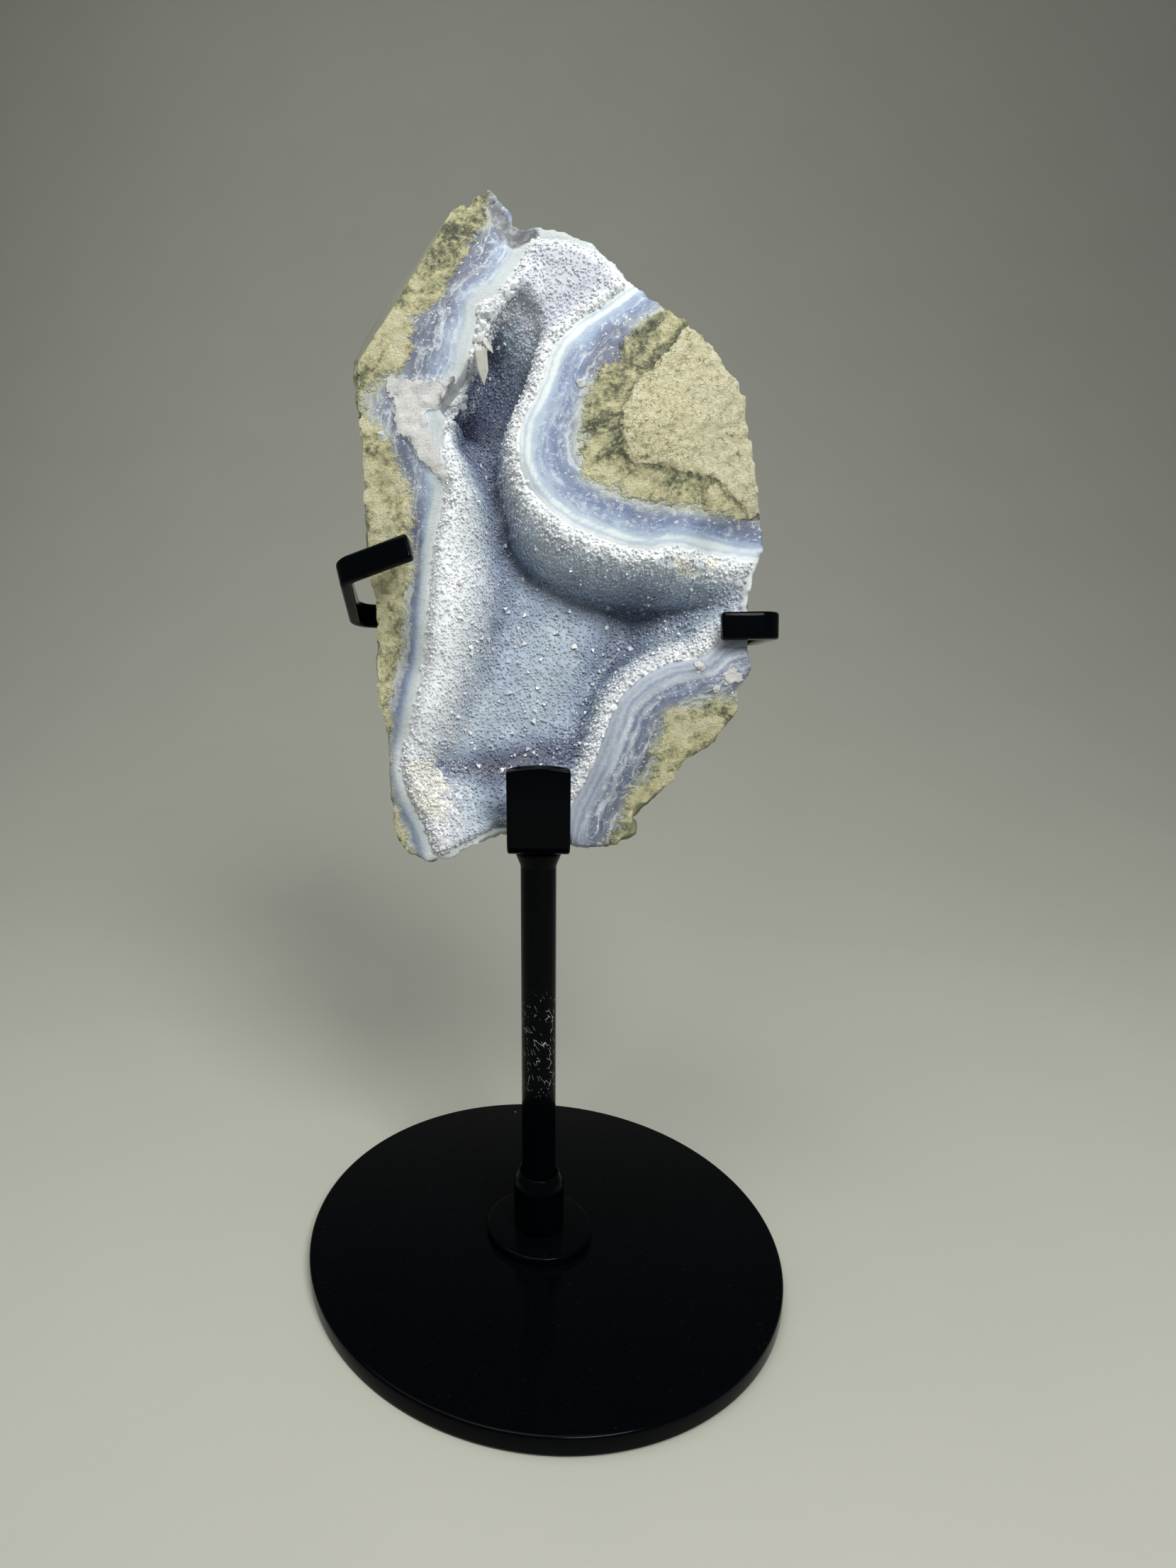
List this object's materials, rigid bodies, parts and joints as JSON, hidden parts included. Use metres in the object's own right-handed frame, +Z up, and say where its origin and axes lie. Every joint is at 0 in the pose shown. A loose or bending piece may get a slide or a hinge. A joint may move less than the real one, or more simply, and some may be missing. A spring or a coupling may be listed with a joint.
{
  "type": "blue lace agate geode half on a display stand",
  "caption": "Half geode of pale blue banded agate with a crystal-lined hollow, held upright by a black steel cradle on a round base.",
  "frame": {"origin": "middle of the underside of the round base", "axes": "+Z up along the pole, -Y towards the viewer of the stone's broken face, +X to that viewer's right"},
  "size_m": [0.08, 0.08, 0.1704],
  "materials": {
    "banded_agate": "broken agate with pale blue and white bands, cream and olive matrix, and a matt grey-brown rind",
    "druzy_quartz": "sparkling crust of small pale lavender quartz crystals",
    "black_paint": "smooth gloss black paint with a little dust and a few scuffs"
  },
  "bodies": {
    "root": {"base_plate": "black_paint", "flange_washer": "black_paint", "collar": "black_paint", "pole": "black_paint", "cradle_strip": "black_paint", "side_band": "black_paint", "agate": "banded_agate", "quartz_crust": "druzy_quartz"}
  },
  "joints": []
}
